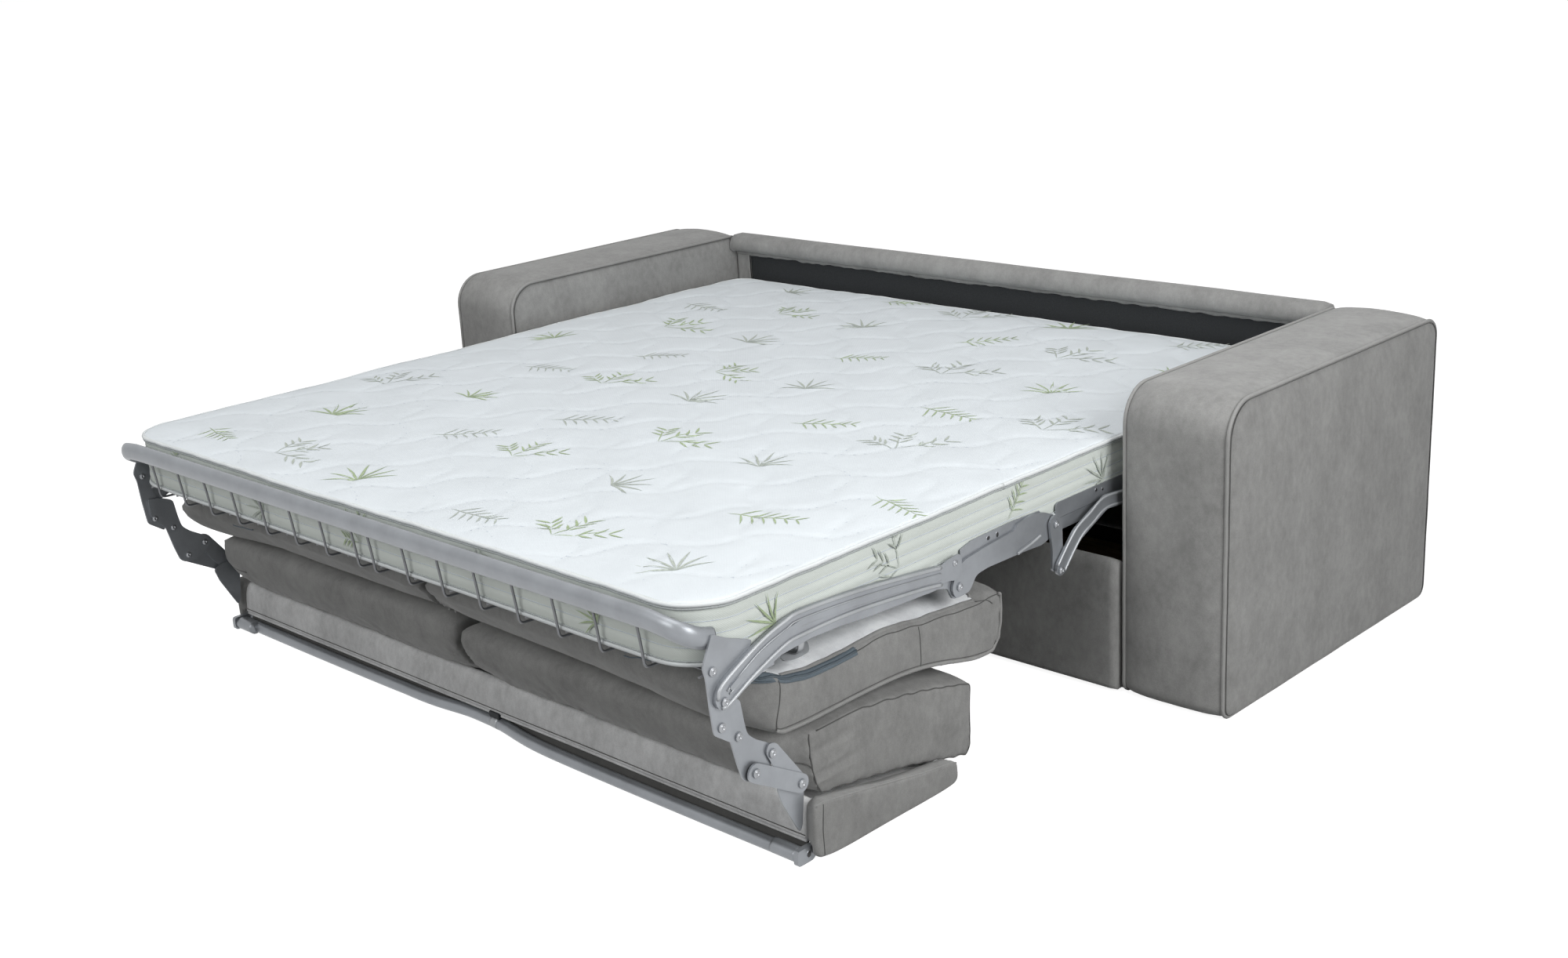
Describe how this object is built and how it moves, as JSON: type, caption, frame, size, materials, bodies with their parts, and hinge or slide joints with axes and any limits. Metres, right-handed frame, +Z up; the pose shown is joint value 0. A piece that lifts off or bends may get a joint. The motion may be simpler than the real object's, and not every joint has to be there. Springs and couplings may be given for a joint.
{
  "type": "sleeper sofa with pull out bed",
  "caption": "Two-arm sleeper sofa shown with its bed unrolled: a quilted mattress on a folding steel frame, with the seat and back cushions stowed under the foot end.",
  "frame": {"origin": "centre of the bounding box in plan, on the floor, with the bed unrolled", "axes": "+X to the sofa's right arm seen from the front, +Y to the back rest side, +Z up"},
  "size_m": [2.36, 2, 0.65],
  "materials": {
    "upholstery": "brushed mid-grey microfibre, matt",
    "seat_cover": "mid-grey microfibre sides with a paler grey underside and a zip",
    "ticking": "white quilted ticking with pale green sprigs",
    "lining": "black lining cloth",
    "mechanism": "satin silver-grey paint on pressed steel",
    "wire": "drawn grey wire",
    "timber": "plain sawn softwood",
    "glide": "black plastic"
  },
  "bodies": {
    "sofa": {"arm_left": "upholstery", "arm_right": "upholstery", "glide_front_left": "glide", "glide_front_right": "glide", "glide_rear_left": "glide", "glide_rear_right": "glide", "side_bracket_left": "mechanism", "side_bracket_right": "mechanism", "front_rail": "upholstery", "back_rail": "upholstery", "back_lining": "lining", "back_return": "upholstery", "base_rail_front": "timber", "base_rail_rear": "timber"},
    "lift_levers": {"lift_lever_left": "mechanism", "lift_lever_right": "mechanism"},
    "rear_levers": {"rear_lever_left": "mechanism", "rear_lever_right": "mechanism"},
    "middle_frame": {"middle_tube_left": "mechanism", "middle_tube_right": "mechanism", "middle_mesh": "wire", "mattress_middle": "ticking"},
    "head_section": {"head_webbing": "wire", "mattress_head": "ticking"},
    "fold_link": {"link_plate_left": "mechanism", "link_plate_right": "mechanism", "fold_mesh": "wire", "mattress_fold": "ticking"},
    "foot_frame": {"foot_tube": "mechanism", "foot_mesh": "wire", "mattress_foot": "ticking", "seat_channel_left": "mechanism", "seat_channel_right": "mechanism", "corner_bracket_left": "mechanism", "corner_bracket_right": "mechanism", "back_hinge_plate_left": "mechanism", "back_hinge_plate_right": "mechanism", "hinge_arm_left": "mechanism", "hinge_arm_right": "mechanism", "hinge_link_left": "mechanism", "hinge_link_right": "mechanism", "cushion_retainer_left": "mechanism", "cushion_retainer_right": "mechanism", "seat_cushion_left": "seat_cover", "seat_cushion_right": "seat_cover"},
    "back_frame": {"back_panel": "upholstery", "leg_tube": "mechanism", "tube_strap": "mechanism", "back_cushion_left": "upholstery", "back_cushion_right": "upholstery", "triangle_plate_left": "mechanism", "triangle_plate_right": "mechanism", "leg_bracket_left": "mechanism", "leg_bracket_right": "mechanism"},
    "control_crank": {"control_crank_left": "mechanism", "control_crank_right": "mechanism"},
    "control_lever": {"control_lever_left": "mechanism", "control_lever_right": "mechanism"}
  },
  "joints": [
    {"name": "bed_lift", "type": "hinge", "parent": "sofa", "child": "lift_levers", "pos_m": [0, 0.4026, 0.1418], "axis": [-1, 0, 0], "range_deg": [0, 115.74]},
    {"name": "rear_lever_swing", "type": "hinge", "parent": "sofa", "child": "rear_levers", "pos_m": [0, 0.6226, 0.1418], "axis": [-1, 0, 0], "range_deg": [0, 115.76]},
    {"name": "middle_frame_level", "type": "hinge", "parent": "lift_levers", "child": "middle_frame", "pos_m": [0, 0.38, 0.4], "axis": [1, 0, 0], "range_deg": [0, 115.76]},
    {"name": "head_fold", "type": "hinge", "parent": "middle_frame", "child": "head_section", "pos_m": [0, 0.685, 0.402], "axis": [1, 0, 0], "range_deg": [0, 90.02], "deforming": ["mattress_head", "head_webbing"]},
    {"name": "link_fold", "type": "hinge", "parent": "middle_frame", "child": "fold_link", "pos_m": [0, -0.04, 0.412], "axis": [-1, 0, 0], "range_deg": [0, 98.02], "deforming": ["mattress_fold"]},
    {"name": "foot_fold", "type": "hinge", "parent": "fold_link", "child": "foot_frame", "pos_m": [0, -0.325, 0.372], "axis": [-1, 0, 0], "range_deg": [0, 82.02]},
    {"name": "back_fold", "type": "hinge", "parent": "foot_frame", "child": "back_frame", "pos_m": [0, -0.759, 0.154], "axis": [-1, 0, 0], "range_deg": [0, 98.02]},
    {"name": "crank_swing", "type": "hinge", "parent": "middle_frame", "child": "control_crank", "pos_m": [0, -0.04, 0.412], "axis": [1, 0, 0], "range_deg": [0, 90.02]},
    {"name": "lever_swing", "type": "hinge", "parent": "control_crank", "child": "control_lever", "pos_m": [0, -0.035, 0.319], "axis": [-1, 0, 0], "range_deg": [0, 10.42]}
  ],
  "couplings": [
    {"joint": "rear_lever_swing", "follows": "bed_lift", "ratio": 1},
    {"joint": "middle_frame_level", "follows": "bed_lift", "ratio": 1},
    {"joint": "head_fold", "follows": "bed_lift", "ratio": 0.7776},
    {"joint": "link_fold", "follows": "bed_lift", "ratio": 0.84672},
    {"joint": "foot_fold", "follows": "bed_lift", "ratio": 0.70849},
    {"joint": "back_fold", "follows": "bed_lift", "ratio": 0.84672},
    {"joint": "crank_swing", "follows": "bed_lift", "ratio": 0.7776},
    {"joint": "lever_swing", "follows": "bed_lift", "ratio": 0.089857}
  ]
}
